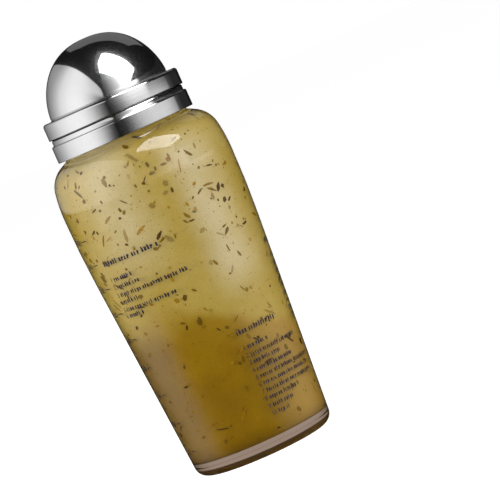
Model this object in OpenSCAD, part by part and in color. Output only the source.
// Dressing shaker: a tapered glass bottle with a screw collar, a pouring insert and a pull-off dome cap.
// Millimetres. +Z is up, the bottle's axis is the Z axis and the bottle stands on z = 0.
// Every profile is a half section in X and Z that is turned once around the axis.

/* [Glass body] */
// Diameter at the widest part of the body
body_d = 83; // [76:0.5:90]
// Diameter that the tapered side would have at the table
base_d = 66.2; // [60:0.2:72]
// Height at which the tapered side and the upright side would meet
taper_top_z = 116; // [95:1:120]
// Radius of the long curve that blends the taper into the upright side
taper_blend_r = 440; // [150:10:600]
// Radius of the outer corner at the foot
foot_corner_r = 5.5; // [3:0.5:8]
// Thickness of the side wall
glass_wall = 2.6; // [2:0.1:3.5]
// Thickness of the heavy base
glass_base = 6.8; // [5:0.2:9]
// Radius of the inner corner above the base
inner_corner_r = 9; // [5:0.5:12]
// Diameter of the hollow under the base
punt_d = 47; // [36:1:52]
// Depth of the hollow under the base
punt_h = 1.4; // [0.8:0.1:2.5]

/* [Glass shoulder and neck] */
// Height of the body, from the table to the foot of the neck
body_h = 157; // [150:0.1:165]
// Height of the shoulder, over which the side leans inwards
shoulder_h = 17.7; // [15:0.1:20]
// Radius of the soft bend where the side starts to lean inwards
shoulder_blend_r = 68; // [30:2:80]
// How far the corner of the shoulder lies below the foot of the neck
shoulder_drop = 5; // [3:0.1:6]
// How far the corner of the shoulder lies inside the widest part
shoulder_inset = 2.3; // [1.5:0.1:4]
// Radius of the shoulder
shoulder_r = 13.5; // [8:0.5:16]
// Height of the neck
neck_h = 8; // [7.8:0.1:10]
// Outer diameter of the neck at the root of its thread
neck_d = 59.2; // [57:0.2:59.6]
// Thickness of the neck's wall
neck_wall = 3.2; // [2.6:0.1:3.6]
// Radius of the fillet between the shoulder and the neck
neck_fillet_r = 1.5; // [0.6:0.1:2]
// Radius of the rounded lip of the mouth
lip_r = 0.9; // [0.5:0.1:1.2]

/* [Collar] */
// Height of the collar below its groove
collar_h = 8; // [7.4:0.1:9]
// Height of the groove that a thumb pushes the cap up from
groove_h = 2.7; // [2:0.1:3.4]
// Thickness of the steel sheet of the collar and the cap
sheet_t = 0.6; // [0.5:0.05:0.8]
// Outer bend radius at the collar's upper edge
collar_edge_r = 0.8; // [0.6:0.1:1.2]
// Height of the thread's crest above its root
thread_depth = 1.3; // [1:0.1:1.5]
// Wall of the core behind its thread
core_wall = 1.45; // [1.2:0.05:1.8]
// Wall of the core inside the spigot
socket_wall = 1.25; // [1:0.05:1.4]
// Depth of the groove, from the face of the collar to the spigot
groove_depth = 1.1; // [0.8:0.1:1.4]
// Thickness of the core's flange, which holds the pouring insert down
core_flange_t = 1.5; // [1.2:0.1:1.8]

/* [Pouring insert] */
// Thickness of the silicone ring on the lip
seal_t = 1.2; // [0.8:0.1:1.6]
// Thickness of the insert's deck
deck_t = 1.5; // [1.2:0.1:1.8]
// Depth to which the insert's skirt reaches into the neck
plug_depth = 6; // [4:0.5:8]
// Wall of the insert's skirt and snap rim
insert_wall = 1.3; // [1:0.1:1.6]
// Reach of the snap bead over the core's flange
snap_reach = 0.8; // [0.5:0.1:1]
// Height of the spout above the deck
spout_h = 15.5; // [13:0.5:16.5]
// Outer radius of the spout at the deck
spout_root_r = 15.5; // [14:0.5:17]
// Outer radius of the spout below its drip lip
spout_waist_r = 10.8; // [9.8:0.2:11.6]
// Reach of the drip lip
drip_lip = 1.5; // [1:0.1:2]
// Wall of the spout
spout_wall = 1.5; // [1.2:0.1:1.8]

/* [Dome cap] */
// Height of the steel ring
ring_h = 8; // [7.8:0.1:9]
// Outer bend radius of the ring's upper edge
ring_edge_r = 1.4; // [0.8:0.1:1.8]
// Radius of the outer edge at the ring's foot
ring_foot_r = 0.4; // [0.2:0.05:0.45]
// Width of the ledge between the face of the ring and the dome
ledge_w = 4.5; // [3.6:0.1:5.5]
// Height of the dome above the ring
dome_h = 28.7; // [27:0.1:32]
// Power of the curve at the dome's side: below 2 it leans in sooner than an ellipse
dome_side_power = 1.8; // [1.6:0.05:2.2]
// Power of the curve at the dome's crown: above 2 it is flatter than an ellipse
dome_crown_power = 2.35; // [1.9:0.05:2.6]
// Width of the rolled bead at the foot of the dome
dome_bead = 0.4; // [0.2:0.1:0.6]
// Thickness of the liner's plate
plate_t = 2; // [1.6:0.1:2.2]
// Wall of the liner's cup
liner_wall = 1.4; // [1.2:0.1:1.6]
// Inner corner radius of the cup's roof, which the stopper's disc fits
cup_corner_r = 0.8; // [0.4:0.1:1.1]
// Number of stiffening ribs under the plate
rib_count = 12; // [8:4:16]
// Thickness of a rib
rib_t = 1.2; // [0.8:0.1:1.6]
// Section radius of the O-ring
o_ring_r = 0.5; // [0.4:0.05:0.55]
// Thickness of the stopper's disc, which seals on the spout's lip
stopper_disc_t = 1.3; // [1:0.1:1.6]
// Depth to which the stopper reaches into the spout
stopper_depth = 4; // [3:0.5:5]
// Radius of the stopper's snap stem
stem_r = 3; // [2.4:0.2:3.6]

/* [Clearances] */
// Gap between pieces that move past each other
run_gap = 0.3; // [0.25:0.05:0.4]
// Gap at a seat that a seal closes
seat_gap = 0.1; // [0.05:0.05:0.2]
// Gap between pieces that are pressed or snapped together
press_gap = 0.05; // [0.02:0.01:0.08]

/* [Edges and fillets] */
// Radius of the free edges of the moulded pieces
mould_edge_r = 0.3; // [0.1:0.05:0.4]
// Radius of the small steps and lands of the moulded pieces
land_edge_r = 0.2; // [0.1:0.05:0.25]
// Radius of the cut edges of the steel sheet
sheet_edge_r = 0.15; // [0.05:0.05:0.2]
// Radius of the fillets that stiffen the insert and the liner
web_fillet_r = 1; // [0.5:0.1:1.5]
// Radius of the fillet at the foot of the spout
spout_fillet_r = 3; // [2:0.5:4]
// Radius of the waist of the spout
spout_bend_r = 6; // [4:0.5:8]

/* [Hidden] */
$fn = 128;

// Largest distance between an arc and the chords that draw it
chord_error = 0.008;
// Number of chords from the dome's foot to its crown
dome_steps = 44;

// Levels, from the table upwards
shoulder_start_z = body_h - shoulder_h;
shoulder_corner_z = body_h - shoulder_drop;
neck_top_z = body_h + neck_h;
collar_z = body_h + run_gap;
groove_z = collar_z + collar_h;
ring_z = groove_z + groove_h;
ring_top_z = ring_z + ring_h;
plate_top_z = ring_top_z - 2 * sheet_t;
plate_z = plate_top_z - plate_t;
spigot_top_z = plate_z - run_gap;
seal_z = neck_top_z + seat_gap;
deck_z = seal_z + seal_t;
deck_top_z = deck_z + deck_t;
flange_z = deck_top_z + run_gap;
flange_top_z = flange_z + core_flange_t;
bead_z = flange_top_z + run_gap;
rim_top_z = bead_z + snap_reach;
rib_z = rim_top_z + run_gap;
spout_top_z = deck_top_z + spout_h;
stopper_seat_z = spout_top_z + seat_gap;
cup_top_z = stopper_seat_z + stopper_disc_t;

// Radii, from the neck outwards
neck_r = neck_d / 2;
mouth_r = neck_r - neck_wall;
plug_r = mouth_r - run_gap - seat_gap;
thread_bore_r = neck_r + thread_depth + run_gap;
core_r = thread_bore_r + core_wall;
collar_r = core_r + press_gap + sheet_t;
spigot_r = collar_r - groove_depth;
ring_r = spigot_r + run_gap + sheet_t;
dome_r = ring_r - ledge_w;
core_spigot_r = spigot_r - sheet_t - press_gap;
socket_r = core_spigot_r - socket_wall;
deck_bore_r = socket_r - run_gap;
deck_r = deck_bore_r - run_gap;
rim_r = plug_r + insert_wall;
flange_bore_r = rim_r + run_gap;
skirt_r = socket_r - run_gap;
skirt_inner_r = rim_r + snap_reach + run_gap;
cup_r = spout_waist_r + drip_lip + 4 * run_gap;
bore_r = spout_waist_r - spout_wall;
o_ring_centre_r = socket_r - seat_gap - o_ring_r;
o_ring_z = flange_top_z + run_gap + o_ring_r + liner_wall / 2;
dome_inner_r = dome_r - sheet_t;

function unit(v) = v / norm(v);

function flat(p) = [p[0], p[1]];

// Angle between the two sides that meet at point p
function corner_angle(a, p, b) =
    acos(max(-1, min(1, unit(flat(a) - flat(p)) * unit(flat(b) - flat(p)))));

// Length that an arc of radius p[2] takes from each side of its corner
function tangent_length(a, p, b) =
    let (angle = corner_angle(a, p, b))
    p[2] > 0 && angle > 0.05 && angle < 179.95 ? p[2] / tan(angle / 2) : 0;

// The arc that replaces corner p, or the corner itself where its radius is 0
function corner_arc(a, p, b, r) =
    r <= 0 ? [flat(p)] :
    let (
        half = corner_angle(a, p, b) / 2,
        to_a = unit(flat(a) - flat(p)),
        to_b = unit(flat(b) - flat(p)),
        centre = flat(p) + unit(to_a + to_b) * r / sin(half),
        start = flat(p) + to_a * r / tan(half) - centre,
        end = flat(p) + to_b * r / tan(half) - centre,
        start_angle = atan2(start[1], start[0]),
        swept = atan2(end[1], end[0]) - start_angle,
        turn = swept > 180 ? swept - 360 : swept < -180 ? swept + 360 : swept,
        steps = max(2, ceil(abs(turn) / (2 * acos(1 - min(0.5, chord_error / r)))))
    )
    [
        for (i = [0 : steps])
            let (angle = start_angle + turn * i / steps)
            centre + r * [cos(angle), sin(angle)]
    ];

// An outline of corners [x, z, radius]. Two arcs that share a short side share its length.
function rounded(corners) =
    let (
        n = len(corners),
        before = function (i) corners[(i + n - 1) % n],
        after = function (i) corners[(i + 1) % n],
        reach = [for (i = [0 : n - 1]) tangent_length(before(i), corners[i], after(i))],
        side = [for (i = [0 : n - 1]) norm(flat(after(i)) - flat(corners[i]))],
        share = function (i, j, length) length / max(0.001, reach[i] + reach[j])
    )
    [
        for (i = [0 : n - 1])
            let (
                back = (i + n - 1) % n,
                ahead = (i + 1) % n,
                fit = min(1, share(i, back, side[back]), share(i, ahead, side[i])),
                r = reach[i] > 0 ? corners[i][2] * fit : 0
            )
            each corner_arc(corners[back], corners[i], corners[ahead], r)
    ];

// Half section of the dome from its foot to its crown, at a depth below its outer face
function dome_curve(depth) = [
    for (i = [0 : dome_steps])
        let (angle = 90 * i / dome_steps)
        [
            (dome_r - depth) * pow(cos(angle), 2 / dome_crown_power),
            ring_top_z + (dome_h - depth) * pow(sin(angle), 2 / dome_side_power)
        ]
];

module turned(corners) {
    rotate_extrude() polygon(rounded(corners));
}

// The glass: heavy base with a hollow underneath, tapered side, round shoulder and straight neck.
module bottle() {
    body_r = body_d / 2;
    corner_r = body_r - shoulder_inset;
    inner_foot_r = base_d / 2 - glass_wall + (body_r - base_d / 2) * glass_base / taper_top_z;
    color([0.78, 0.86, 0.82, 0.45]) turned([
        [0, punt_h, 0],
        [punt_d / 2 - punt_h, punt_h, 3 * punt_h],
        [punt_d / 2 + punt_h, 0, 2 * punt_h],
        [base_d / 2, 0, foot_corner_r],
        [body_r, taper_top_z, taper_blend_r],
        [body_r, shoulder_start_z, shoulder_blend_r],
        [corner_r, shoulder_corner_z, shoulder_r],
        [neck_r, body_h, neck_fillet_r],
        [neck_r, neck_top_z, lip_r],
        [mouth_r, neck_top_z, lip_r],
        [mouth_r, body_h - glass_wall, 2 * glass_wall],
        [corner_r - glass_wall, shoulder_corner_z - glass_wall, shoulder_r - glass_wall],
        [body_r - glass_wall, shoulder_start_z, shoulder_blend_r - glass_wall],
        [body_r - glass_wall, taper_top_z, taper_blend_r - glass_wall],
        [inner_foot_r, glass_base, inner_corner_r],
        [0, glass_base, 0]
    ]);
}

// Flat silicone ring between the lip of the glass and the deck of the pouring insert.
module neck_seal() {
    color("whitesmoke") turned([
        [plug_r + press_gap, seal_z, 0],
        [neck_r - lip_r / 2, seal_z, seal_t / 4],
        [neck_r - lip_r / 2, deck_z, seal_t / 4],
        [plug_r + press_gap, deck_z, 0]
    ]);
}

// Moulded insert: a skirt in the neck, a deck, a snap rim that the core's flange catches, and a spout.
module pouring_insert() {
    spout_neck_z = spout_top_z - 2 * drip_lip;
    color("white") turned([
        [plug_r - insert_wall, deck_z - plug_depth, mould_edge_r],
        [plug_r - insert_wall / 3, deck_z - plug_depth, mould_edge_r],
        [plug_r, deck_z - plug_depth + insert_wall, web_fillet_r],
        [plug_r, deck_z, 0],
        [deck_r, deck_z, mould_edge_r],
        [deck_r, deck_top_z, mould_edge_r],
        [rim_r, deck_top_z, land_edge_r],
        [rim_r, bead_z, 0],
        [rim_r + snap_reach, bead_z, land_edge_r],
        [rim_r + snap_reach / 4, rim_top_z, land_edge_r],
        [plug_r, rim_top_z, mould_edge_r],
        [plug_r, deck_top_z, web_fillet_r],
        [spout_root_r, deck_top_z, spout_fillet_r],
        [spout_waist_r, spout_neck_z, spout_bend_r],
        [spout_waist_r + drip_lip, spout_top_z - drip_lip / 2, mould_edge_r],
        [spout_waist_r + drip_lip / 2, spout_top_z, mould_edge_r],
        [bore_r + drip_lip / 2, spout_top_z, mould_edge_r],
        [bore_r, spout_neck_z, spout_bend_r],
        [spout_root_r - spout_wall, deck_z, spout_fillet_r + spout_wall],
        [plug_r - insert_wall, deck_z, web_fillet_r]
    ]);
}

// Moulded core of the collar: threaded bore, flange over the insert and the socket for the cap.
module collar_core() {
    step_z = groove_z - sheet_t - press_gap;
    core_top_z = spigot_top_z - sheet_t - press_gap;
    color("white") turned([
        [thread_bore_r, collar_z + run_gap, mould_edge_r],
        [core_r, collar_z + run_gap, mould_edge_r],
        [core_r, step_z, mould_edge_r],
        [core_spigot_r, step_z, 0],
        [core_spigot_r, core_top_z, mould_edge_r],
        [socket_r, core_top_z, mould_edge_r],
        [socket_r, flange_top_z, mould_edge_r],
        [flange_bore_r, flange_top_z, land_edge_r],
        [flange_bore_r, flange_z, land_edge_r],
        [deck_bore_r, flange_z, land_edge_r],
        [deck_bore_r, neck_top_z + run_gap, land_edge_r],
        [thread_bore_r, neck_top_z + run_gap, land_edge_r]
    ]);
}

// Drawn steel shell of the collar: skirt, step for the groove, and a spigot rolled in over the core.
module collar_shell() {
    inner_bend_r = collar_edge_r - sheet_t;
    rolled_r = socket_r + sheet_t / 2;
    color("gainsboro") turned([
        [collar_r - sheet_t, collar_z, 0],
        [collar_r, collar_z, sheet_edge_r],
        [collar_r, groove_z, collar_edge_r],
        [spigot_r, groove_z, inner_bend_r],
        [spigot_r, spigot_top_z, collar_edge_r],
        [rolled_r, spigot_top_z, sheet_edge_r],
        [rolled_r, spigot_top_z - sheet_t, sheet_edge_r],
        [spigot_r - sheet_t, spigot_top_z - sheet_t, inner_bend_r],
        [spigot_r - sheet_t, groove_z - sheet_t, inner_bend_r],
        [collar_r - sheet_t, groove_z - sheet_t, inner_bend_r]
    ]);
}

// Drawn steel ring of the cap: upright band with a ledge that holds the dome's flange down.
module cap_ring() {
    ledge_r = dome_r + dome_bead + press_gap;
    color("gainsboro") turned([
        [ring_r - sheet_t, ring_z, sheet_edge_r],
        [ring_r, ring_z, ring_foot_r],
        [ring_r, ring_top_z, ring_edge_r],
        [ledge_r, ring_top_z, sheet_edge_r],
        [ledge_r, ring_top_z - sheet_t, sheet_edge_r],
        [ring_r - sheet_t, ring_top_z - sheet_t, ring_edge_r - sheet_t]
    ]);
}

// Spun steel dome: fuller at the crown than a half sphere, on a rolled bead, with a flange in the ring.
module cap_dome() {
    flange_r = dome_r + ledge_w / 2;
    outer = dome_curve(0);
    inner = dome_curve(sheet_t);
    color("gainsboro") {
        rotate_extrude() polygon(concat(outer, [for (i = [dome_steps : -1 : 0]) inner[i]]));
        turned([
            [dome_inner_r, plate_top_z, sheet_edge_r],
            [flange_r, plate_top_z, sheet_edge_r],
            [flange_r, ring_top_z - sheet_t, sheet_edge_r],
            [dome_r + dome_bead, ring_top_z - sheet_t, 0],
            [dome_r + dome_bead, ring_top_z + dome_bead, dome_bead],
            [dome_r - sheet_t / 4, ring_top_z + 2 * dome_bead, 0],
            [dome_inner_r, ring_top_z + dome_bead / 4, 0]
        ]);
    }
}

// Moulded liner: plate under the flange, skirt in the collar's socket, cup over the spout, and ribs.
module cap_liner() {
    skirt_z = flange_top_z + run_gap;
    land_r = o_ring_centre_r - o_ring_r - press_gap;
    land_half = o_ring_r + press_gap;
    plate_r = ring_r - sheet_t - press_gap;
    rib_start_r = spout_root_r + rib_t;
    rib_end_r = (skirt_inner_r + skirt_r) / 2;
    rib_h = plate_z - rib_z;
    cup_roof_z = cup_top_z + liner_wall;
    color("white") {
        turned([
            [skirt_inner_r, skirt_z, mould_edge_r],
            [skirt_r, skirt_z, land_edge_r],
            [skirt_r, o_ring_z - land_half, 0],
            [land_r, o_ring_z - land_half, 0],
            [land_r, o_ring_z + land_half, 0],
            [skirt_r, o_ring_z + land_half, 0],
            [skirt_r, plate_z, 0],
            [plate_r, plate_z, land_edge_r],
            [plate_r, plate_top_z, land_edge_r],
            [spout_root_r + liner_wall, plate_top_z, 2 * web_fillet_r],
            [cup_r + liner_wall, cup_roof_z, cup_corner_r + liner_wall],
            [stem_r + press_gap, cup_roof_z, land_edge_r],
            [stem_r + press_gap, cup_top_z, land_edge_r],
            [cup_r, cup_top_z, cup_corner_r],
            [spout_root_r, plate_z, mould_edge_r],
            [skirt_inner_r, plate_z, web_fillet_r / 2]
        ]);
        intersection() {
            for (i = [0 : rib_count - 1])
                rotate(360 * (i + 0.5) / rib_count)
                    translate([0, -rib_t / 2, rib_z])
                        cube([skirt_r, rib_t, rib_h + plate_t / 2]);
            turned([
                [rib_start_r, plate_z, 0],
                [rib_start_r + rib_h, rib_z, 0],
                [rib_end_r, rib_z, 0],
                [rib_end_r, plate_z + plate_t / 2, 0],
                [rib_start_r, plate_z + plate_t / 2, 0]
            ]);
        }
    }
}

// Silicone O-ring on the liner's skirt, which grips the collar's socket.
module cap_o_ring() {
    color("dimgray") rotate_extrude() translate([o_ring_centre_r, o_ring_z]) circle(o_ring_r);
}

// Silicone stopper: a plug in the spout, a sealing disc on its lip, and a stem snapped through the liner.
module cap_stopper() {
    plug_top_r = bore_r - run_gap;
    plug_taper = stopper_depth / 4;
    disc_r = cup_r - run_gap;
    snap_z = cup_top_z + liner_wall + press_gap;
    color("dimgray") turned([
        [0, stopper_seat_z - stopper_depth, 0],
        [plug_top_r - plug_taper, stopper_seat_z - stopper_depth, web_fillet_r],
        [plug_top_r, stopper_seat_z, mould_edge_r],
        [disc_r, stopper_seat_z, mould_edge_r],
        [disc_r, cup_top_z, cup_corner_r],
        [stem_r, cup_top_z, 0],
        [stem_r, snap_z, 0],
        [stem_r + snap_reach, snap_z, land_edge_r],
        [stem_r - snap_reach, snap_z + liner_wall, mould_edge_r],
        [0, snap_z + liner_wall, 0]
    ]);
}

bottle();
neck_seal();
pouring_insert();
collar_core();
collar_shell();
cap_ring();
cap_dome();
cap_liner();
cap_o_ring();
cap_stopper();
